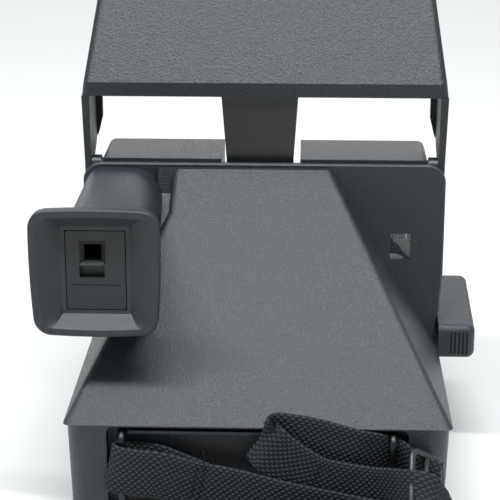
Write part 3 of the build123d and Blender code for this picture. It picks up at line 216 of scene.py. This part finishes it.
def woven(name, painted_hollow_shade, crown):
    """Webbing: painted shade darkens it between the cells of the weave, paler on their crowns, with
    fine fibre.
    """
    s = Shader(name, crown, 0.82, 0.3)
    height = s.node("ShaderNodeAttribute", attribute_name="weave").outputs["Fac"]
    fibre = s.noise(1.0, 2.0, 0.6, vector=s.scaled((2500, 2500, 9000)))
    crown_share = s.ramp(height, 0.1, 0.8, 0.0, 1.0)
    tone = s.math("MULTIPLY", crown_share, s.ramp(fibre, 0.3, 0.7, 0.7, 1.15))
    # the hollow colour is painted shade, mixed in where the weave's cells dip
    s.link(s.mix(tone, painted_hollow_shade, crown), "Base Color")
    s.link(s.bump(fibre, 0.6, 0.08 * MM), "Normal")
    return s


def metal(name, colour, roughness):
    """Metal with fine drawn lines along X."""
    s = Shader(name, colour, roughness)
    s.set("Metallic", 1.0)
    lines = s.noise(1.0, 3.0, 0.6, vector=s.scaled((400, 4000, 4000)))
    s.link(s.ramp(lines, 0.3, 0.7, roughness - 0.07, roughness + 0.07), "Roughness")
    s.link(s.bump(lines, 0.4, 0.01 * MM), "Normal")
    return s


def glassy(name, tint, roughness, ior):
    """Clear plastic or glass, with faint smudges."""
    s = Shader(name, tint, roughness)
    s.set("Transmission Weight", 1.0)
    s.set("IOR", ior)
    smudge = s.noise(300, 3.0, 0.6)
    s.link(s.ramp(smudge, 0.3, 0.7, roughness, roughness + 0.06), "Roughness")
    return s


DIAL_X, DIAL_Z = -42.0, 59.0
BLOCK_START = radians(360 - 106)
BLOCK_HALF_PITCH, BLOCK_HALF_WIDTH = radians(45), radians(24)
BLOCK_RADIUS, BLOCK_HALF_DEPTH = 5.3, 1.0
DIAL_BLACK, DIAL_WHITE = (0.006, 0.006, 0.007), (0.55, 0.56, 0.56)


def dial_print():
    """The counter dial: black, with plain white blocks printed at every quarter turn."""
    s = Shader("dial_print", DIAL_BLACK, 0.5)
    axes = s.node("ShaderNodeSeparateXYZ", {"Vector": s.coords}).outputs
    x = s.math("SUBTRACT", axes["X"], DIAL_X * MM)
    z = s.math("SUBTRACT", axes["Z"], DIAL_Z * MM)
    angle = s.math("ADD", s.math("ARCTAN2", z, x), BLOCK_START)
    inside = s.math("LESS_THAN", s.math("PINGPONG", angle, BLOCK_HALF_PITCH), BLOCK_HALF_WIDTH)
    radius = s.math("SQRT", s.math("ADD", s.math("MULTIPLY", x, x), s.math("MULTIPLY", z, z)))
    ring = s.math("COMPARE", radius, BLOCK_RADIUS * MM, BLOCK_HALF_DEPTH * MM)
    s.link(s.mix(s.math("MULTIPLY", inside, ring), DIAL_BLACK, DIAL_WHITE), "Base Color")
    return s


# by the material slot of the CAD nodes
MATERIALS = {
    "body_grey": moulded(
        "body_plastic", dark=(0.008, 0.0105, 0.0135), light=(0.024, 0.029, 0.036),
        roughness=0.42, grain=1900, depth=0.24, mottle=2000),
    "body_black": moulded(
        "front_plastic", dark=(0.007, 0.009, 0.0105), light=(0.018, 0.021, 0.023),
        roughness=0.42, grain=1700, depth=0.24, mottle=1800),
    "cover_black": moulded(
        "cover_plastic", dark=(0.007, 0.009, 0.0105), light=(0.019, 0.0225, 0.025),
        roughness=0.43, grain=1300, depth=0.30, mottle=1500),
    "lens_panel_black": moulded(
        "panel_plastic", dark=(0.008, 0.008, 0.009), light=(0.011, 0.011, 0.012),
        roughness=0.25, grain=3000, depth=0.01),
    "eyepiece_rubber": moulded(
        "eyepiece_plastic", dark=(0.014, 0.017, 0.019), light=(0.021, 0.025, 0.028),
        roughness=0.52, grain=3200, depth=0.05),
    "foot_rubber": moulded(
        "foot_rubber", dark=(0.015, 0.015, 0.015), light=(0.02, 0.02, 0.02),
        roughness=0.8, grain=2500, depth=0.05),
    "inner_black": moulded(
        "inner_plastic", dark=(0.006, 0.006, 0.007), light=(0.009, 0.009, 0.010),
        roughness=0.5, grain=2600, depth=0.04),
    "button_plastic": moulded(
        "button_plastic", dark=(0.02, 0.021, 0.022), light=(0.027, 0.028, 0.030),
        roughness=0.35, grain=3000, depth=0.02),
    "slider_plastic": moulded(
        "slider_plastic", dark=(0.02, 0.022, 0.022), light=(0.027, 0.029, 0.029),
        roughness=0.38, grain=3000, depth=0.03),
    "capacitor_sleeve": moulded(
        "capacitor_sleeve", dark=(0.02, 0.03, 0.05), light=(0.03, 0.04, 0.06),
        roughness=0.4, grain=2600, depth=0.02),
    "board_green": moulded(
        "board_laminate", dark=(0.02, 0.10, 0.045), light=(0.03, 0.13, 0.06),
        roughness=0.4, grain=1800, depth=0.02),
    "nylon_gear": moulded(
        "gear_nylon", dark=(0.62, 0.60, 0.53), light=(0.70, 0.68, 0.61),
        roughness=0.42, grain=2600, depth=0.02),
    "strap_webbing": woven(
        "strap_webbing", painted_hollow_shade=(0.0035, 0.004, 0.0045), crown=(0.034, 0.040, 0.043)),
    "steel": metal("steel_wire", (0.36, 0.36, 0.36), roughness=0.32),
    "spring_steel": metal("spring_steel", (0.55, 0.54, 0.52), roughness=0.28),
    "chrome_reflector": metal("chromed_reflector", (0.85, 0.86, 0.88), roughness=0.08),
    "brass": metal("brass_metal", (0.75, 0.55, 0.25), roughness=0.3),
    "mirror_glass": metal("mirror_coat", (0.9, 0.91, 0.92), roughness=0.03),
    "window_clear": glassy("clear_window", (0.93, 0.95, 0.95), roughness=0.02, ior=1.49),
    "lens_glass": glassy("coated_lens", (0.80, 0.86, 0.95), roughness=0.01, ior=1.52),
}
BLACKED = metal("blackened_steel", (0.045, 0.048, 0.05), roughness=0.42)
# by the node's name, in place of its slot's material
OWN_MATERIALS = {
    "strap_bar_left": BLACKED,
    "strap_bar_right": BLACKED,
    "hinge_pins": BLACKED,
    "hinge_neck": moulded(
        "neck_plastic", dark=(0.007, 0.008, 0.009), light=(0.010, 0.0115, 0.0125),
        roughness=0.34, grain=2600, depth=0.03),
    # the finder's rear lens is an opaque near-black sheet: painted shade for the dark finder seen
    # through it
    "finder_rear_lens": Shader("finder_lens_painted_shade", (0.004, 0.005, 0.005), 0.08),
    "counter_dial": dial_print(),
}

slot_of = {row["node"]: row["material_slot"] for row in frame["record"]["subparts"]}
for name, node in NODES.items():
    shader = OWN_MATERIALS.get(name, MATERIALS[slot_of[name]])
    node.data.materials.clear()
    node.data.materials.append(shader.material)

# ---------------------------------------------------------------- floor
FLOOR_HALF = 6.0
corner_signs = ((-1, -1), (1, -1), (1, 1), (-1, 1))
floor_corners = [(sx * FLOOR_HALF, sy * FLOOR_HALF, 0) for sx, sy in corner_signs]
floor_object = new_object("studio_floor", floor_corners, [(0, 1, 2, 3)], smooth=False)
floor_shader = Shader("studio_floor_paint", (0.655, 0.652, 0.635), 0.75, 0.15)
floor_shader.link(floor_shader.bump(floor_shader.noise(60, 3.0), 0.2, 0.3 * MM), "Normal")
floor_object.data.materials.append(floor_shader.material)


# ---------------------------------------------------------------- woven strap
WEBBING_WIDTH, WEBBING_THICKNESS = 15.0, 1.3
ROW_PITCH, CELL_PITCH = 0.94, 1.9      # the weave's staggered cells, across and along
RIDGE_POWER, CELL_LOW = 0.6, 0.15      # how full a row is, and how low a cell's end lies
EDGE_POWER, EDGE_FALL = 10, 0.98       # how late and how far the webbing thins to its edges
SPLINE_POINTS = 40


def smooth_path(stations, step):
    """Catmull-Rom through (centre, across) stations, resampled at an even step."""
    keys = np.array([[*centre, *across] for centre, across in stations], float)
    ends = np.vstack([2 * keys[0] - keys[1], keys, 2 * keys[-1] - keys[-2]])
    fine = []
    for p0, p1, p2, p3 in zip(ends, ends[1:], ends[2:], ends[3:]):
        t = np.linspace(0, 1, SPLINE_POINTS, endpoint=False)[:, None]
        fine.append(0.5 * (2 * p1 + (p2 - p0) * t + (2 * p0 - 5 * p1 + 4 * p2 - p3) * t**2
                           + (3 * p1 - p0 - 3 * p2 + p3) * t**3))
    fine = np.vstack([*fine, keys[-1:]])
    run = np.concatenate([[0], np.cumsum(np.linalg.norm(np.diff(fine[:, :3], axis=0), axis=1))])
    even = np.linspace(0, run[-1], max(int(run[-1] / step), 2))
    path = np.stack([np.interp(even, run, fine[:, i]) for i in range(6)], axis=1)
    centre, across = path[:, :3], path[:, 3:]
    tangent = np.gradient(centre, axis=0)
    tangent /= np.linalg.norm(tangent, axis=1)[:, None]
    across = across - (across * tangent).sum(1)[:, None] * tangent
    across /= np.linalg.norm(across, axis=1)[:, None]
    return centre, across, np.cross(tangent, across), even


def webbing(name, stations, step=0.38, count=64, depth=0.42):
    """A closed ribbon of woven webbing along its stations; returns the piece and its length.

    It has a ring of vertices every step mm, with count of them on each face, and a weave
    depth mm deep.
    """
    centre, across, normal, run = smooth_path(stations, step)
    u = np.linspace(-0.5, 0.5, count) * WEBBING_WIDTH
    edge = np.abs(2 * u / WEBBING_WIDTH) ** EDGE_POWER * EDGE_FALL
    shell = 0.5 * WEBBING_THICKNESS * np.sqrt(1 - edge)
    row = (u + WEBBING_WIDTH / 2) / ROW_PITCH
    ridge = np.abs(np.sin(pi * row)) ** RIDGE_POWER
    phase = run[:, None] / CELL_PITCH + 0.5 * (np.floor(row) % 2)[None, :]
    wave = 0.5 + 0.5 * np.cos(2 * pi * phase)
    cell = ridge[None, :] * (CELL_LOW + (1 - CELL_LOW) * wave)
    weave = depth * (cell - 0.5)
    height = shell[None, :] + weave * (shell / shell.max())[None, :]
    flat = centre[:, None, :] + across[:, None, :] * u[None, :, None]
    front = flat + normal[:, None, :] * height[:, :, None]
    back = flat - normal[:, None, :] * height[:, :, None]
    loop = np.concatenate([front, back[:, ::-1, :]], axis=1) * MM
    rings, around = loop.shape[:2]
    faces = band_faces(0, rings, around)
    last = (rings - 1) * around
    for j in range(count - 1):
        faces.append((around - 1 - j, around - 2 - j, j + 1, j))
        faces.append((last + j, last + j + 1, last + around - 2 - j, last + around - 1 - j))
    piece = new_object(name, loop.reshape(-1, 3), faces)
    # the cell height, which the webbing shader turns into painted shade in the hollows
    tone = piece.data.attributes.new("weave", "FLOAT", "POINT")
    both = np.concatenate([cell, cell[:, ::-1]], axis=1)
    tone.data.foreach_set("value", both.astype(np.float32).ravel())
    piece.data.materials.append(MATERIALS["strap_webbing"].material)
    return piece, run[-1]


def hung(top_points, lean):
    """Stations of an upright run given by its upper edge; lean is its across direction."""
    half = WEBBING_WIDTH / 2
    return [((x - half * lean[0], y - half * lean[1], z - half * lean[2]), lean)
            for x, y, z in top_points]


LEAN = (-0.191, 0.0, 0.982)
LEFT_RUN = hung([
    (14.4, 77.1, 24.6), (18.4, 76.2, 25.8), (23.7, 74.7, 27.3), (29.0, 73.4, 28.7),
    (34.3, 72.9, 29.3), (38.3, 73.2, 29.6), (41.0, 74.3, 29.9), (41.8, 76.4, 30.2),
    (40.7, 78.5, 30.3), (38.2, 79.4, 30.0), (33.0, 79.6, 29.4), (28.0, 79.4, 28.9),
    (22.0, 79.1, 27.2), (15.2, 78.8, 25.2), (10.0, 79.2, 24.6), (4.7, 80.2, 23.9),
    (-1.4, 82.0, 23.3), (-8.0, 83.4, 22.2), (-16.0, 83.7, 20.6), (-22.9, 83.8, 19.3),
    (-32.9, 84.3, 17.4),
], LEAN) + [
    ((-38.5, 86.4, 9.6), (-0.12, 0.0, 0.99)), ((-41.8, 89.6, 9.8), (0.0, 0.0, 1.0)),
    ((-39.6, 93.4, 10.2), (0.0, 0.1, 1.0)), ((-33.0, 96.6, 11.8), (0.0, 0.6, 0.8)),
    ((-25.0, 99.0, 13.4), (0.0, 0.95, 0.3)), ((-16.0, 99.5, 13.9), (0.0, 1.0, 0.0)),
    ((-4.0, 99.5, 13.8), (0.0, 1.0, 0.0)),
]
RIGHT_RUN = [
    ((-51.5, 82.6, 20.6), (0.05, -0.5, 0.86)), ((-47.0, 79.0, 21.6), (0.0, -0.25, 0.97)),
    ((-43.6, 75.0, 23.2), (0.05, 0.0, 1.0)), ((-40.6, 73.7, 24.2), (0.0, 0.0, 1.0)),
    ((-37.4, 73.8, 25.4), (-0.1, 0.0, 0.99)), ((-33.4, 75.2, 26.8), (-0.2, 0.0, 0.98)),
    ((-28.0, 76.6, 28.4), (-0.27, 0.0, 0.96)), ((-18.0, 76.8, 31.3), (-0.27, 0.0, 0.96)),
    ((-10.0, 76.9, 32.9), (-0.22, 0.0, 0.975)), ((-4.2, 77.0, 33.4), (-0.33, 0.0, 0.944)),
    ((-1.4, 79.1, 33.4), (-0.416, 0.0, 0.909)), ((-3.6, 81.0, 31.4), (-0.47, 0.0, 0.88)),
    ((-7.2, 81.4, 28.2), (-0.50, 0.0, 0.866)), ((-11.8, 81.5, 24.9), (-0.45, 0.0, 0.893)),
    ((-17.2, 81.5, 21.8), (-0.36, 0.0, 0.933)), ((-22.6, 81.5, 20.4), (-0.22, 0.0, 0.975)),
    ((-30.2, 81.6, 19.1), (-0.12, 0.0, 0.993)), ((-36.4, 83.2, 19.0), (0.02, -0.05, 1.0)),
    ((-41.2, 88.4, 20.8), (0.06, -0.25, 0.96)), ((-46.0, 92.4, 22.2), (0.10, -0.4, 0.91)),
    ((-50.6, 92.6, 20.4), (0.0, -0.5, 0.86)), ((-53.2, 90.0, 15.4), (-0.35, -0.75, 0.55)),
    ((-53.8, 90.8, 10.2), (-0.45, -0.88, 0.0)),
    ((-52.6, 93.6, 5.2), (-0.3, -0.95, 0.0)), ((-48.4, 97.6, 2.4), (-0.1, -1.0, 0.0)),
    ((-43.0, 99.5, 1.5), (0.0, -1.0, 0.0)), ((-32.0, 99.5, 1.3), (0.0, -1.0, 0.0)),
]


HANK_Y = 99.5
HANK_LEFT, HANK_RIGHT = -26.0, 17.0
HANK_LAYERS, HANK_PITCH = 7, 1.66
HANK_LOWEST = 1.1
HANK_START_X = -30.0
MIDDLE_RISE, FOLD_REACH = 0.12, 1.7
FLAT_ACROSS = (0.0, 1.0, 0.0)


def hank_stations():
    """The strap's unseen length, folded to and fro on the floor, its layers a little uneven."""
    stations = [((HANK_START_X, HANK_Y, HANK_LOWEST), FLAT_ACROSS)]
    for layer in range(HANK_LAYERS):
        z = HANK_LOWEST + HANK_PITCH * layer
        reach = 1.6 * sin(2.3 * layer)
        y = HANK_Y + 0.8 * sin(1.7 * layer + 0.4)
        first, second = HANK_LEFT + reach, HANK_RIGHT + reach
        if layer % 2:
            first, second = second, first
        middle = (first + second) / 2
        for x, height in ((first, z), (middle, z + MIDDLE_RISE), (second, z)):
            stations.append(((x, y, height), FLAT_ACROSS))
        if layer < HANK_LAYERS - 1:
            out = 1 if second > middle else -1
            stations.append(((second + FOLD_REACH * out, y, z + HANK_PITCH / 2), FLAT_ACROSS))
    return stations


left_strap, left_length = webbing("strap_left_webbing", LEFT_RUN)
right_strap, right_length = webbing("strap_right_webbing", RIGHT_RUN)
hank, hank_length = webbing("strap_hank_webbing", hank_stations(), step=0.8, count=32, depth=0.12)
STRAP_PIECES = (
    (left_strap, left_length, "strap_left", "hung", "strap_bar_left"),
    (right_strap, right_length, "strap_right", "hung", "strap_bar_right"),
    (hank, hank_length, "strap_hank", "folded", "studio_floor"),
)
for piece, length, node, held, rest in STRAP_PIECES:
    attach(piece, "camera_body")
    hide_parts(node)
    print("STRAP", piece.name, round(float(length), 1))


# ---------------------------------------------------------------- strap slider
SLIDER_CORNER, CORNER_STEP = 2.6, 15
SLIDER_SIDES, SLIDER_FLATNESS = 12, 0.8
FRAME_RADIUS, BAR_RADIUS, BAR_INSET = 1.0, 0.9, 0.6


def slider_ring(name, centre, across, along, width, length):
    """The strap slider: a moulded rounded frame with a bar down its middle."""
    centre = Vector(centre)
    across, along = Vector(across).normalized(), Vector(along).normalized()
    out = across.cross(along).normalized()
    outline = []
    for sx, sy, first in ((1, 1, 0), (-1, 1, 90), (-1, -1, 180), (1, -1, 270)):
        for turn in range(0, 91, CORNER_STEP):
            angle = radians(first + turn)
            x = sx * (width / 2 - SLIDER_CORNER) + SLIDER_CORNER * cos(angle)
            y = sy * (length / 2 - SLIDER_CORNER) + SLIDER_CORNER * sin(angle)
            outline.append(centre + across * x + along * y)
    vertices, faces = [], []

    def tube(path, closed, radius):
        start, count = len(vertices), len(path)
        for i, point in enumerate(path):
            ahead = path[(i + 1) % count] if closed or i < count - 1 else point
            behind = path[i - 1] if closed or i else point
            sideways = (ahead - behind).normalized().cross(out)
            for k in range(SLIDER_SIDES):
                angle = 2 * pi * k / SLIDER_SIDES
                rise = out * (radius * SLIDER_FLATNESS * sin(angle))
                vertices.append((point + sideways * (radius * cos(angle)) + rise) * MM)
        faces.extend(band_faces(start, count, SLIDER_SIDES, closed))
        if not closed:
            faces.extend(end_caps(start, count, SLIDER_SIDES))

    tube(outline, True, FRAME_RADIUS)
    reach = length / 2 - BAR_INSET
    tube([centre - along * reach, centre, centre + along * reach], False, BAR_RADIUS)
    piece = new_object(name, vertices, faces)
    piece.data.materials.append(MATERIALS["slider_plastic"].material)
    return piece


slider = slider_ring(
    "slider_frame", centre=(-49.3, 85.8, 22.4), across=(-9.6, -7.5, -7.5), along=(0.4, 7.5, -7.6),
    width=13.6, length=18.2)
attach(slider, "camera_body")
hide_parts("strap_slider")


# ---------------------------------------------------------------- stitching
THREAD_SIDES = 8
STITCH_RINGS = ((-0.8, 0.25), (-0.55, 0.8), (0.0, 1.0), (0.55, 0.8), (0.8, 0.25))  # along, swell
STITCH_HALF_WIDTH, STITCH_HALF_HEIGHT = 0.22, 0.2
LOOSE_RADIUS = 0.16


def stitches(name, spots, thread):
    """Short raised stitches at (place, along) spots, and one loose thread end."""
    vertices, faces = [], []
    ring = [(cos(a), sin(a)) for a in np.linspace(0, 2 * pi, THREAD_SIDES, endpoint=False)]

    def cover(start, rings):
        faces.extend(band_faces(start, rings, THREAD_SIDES))
        faces.extend(end_caps(start, rings, THREAD_SIDES))

    for place, along in spots:
        place, along = Vector(place), Vector(along).normalized()
        side = along.cross(Vector((0, 1, 0))).normalized()
        start = len(vertices)
        for t, swell in STITCH_RINGS:
            for a, b in ring:
                wide = side * (STITCH_HALF_WIDTH * swell * a)
                high = Vector((0, STITCH_HALF_HEIGHT * swell * b, 0))
                vertices.append((place + along * t + wide + high) * MM)
        cover(start, len(STITCH_RINGS))
    start = len(vertices)
    for point in thread:
        for a, b in ring:
            vertices.append((Vector(point) + Vector((LOOSE_RADIUS * a, LOOSE_RADIUS * b, 0))) * MM)
    cover(start, len(thread))
    piece = new_object(name, vertices, faces)
    piece.data.materials.append(MATERIALS["strap_webbing"].material)
    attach(piece, "camera_body")


# rows across the webbing: two where the left run's end is sewn down, one on the right run's fold
sewn_left = [((15.2 + 0.19 * t + dx, 79.62, 24.2 - t), (-0.191, 0, 0.982))
             for dx in (0.0, 2.2) for t in (0.6, 2.7, 4.8, 6.9, 9.0, 11.1)]
sewn_right = [((-16.4 - 0.35 * t, 82.3, 21.0 + 0.93 * t), (-0.36, 0, 0.93))
              for t in (-1.0, 1.2, 3.4, 5.6)]
loose_thread = [(15.3, 79.6, 24.6), (15.5, 79.9, 26.4), (15.1, 80.1, 28.0), (15.6, 80.0, 29.6)]
stitches("strap_stitching", sewn_left + sewn_right, loose_thread)
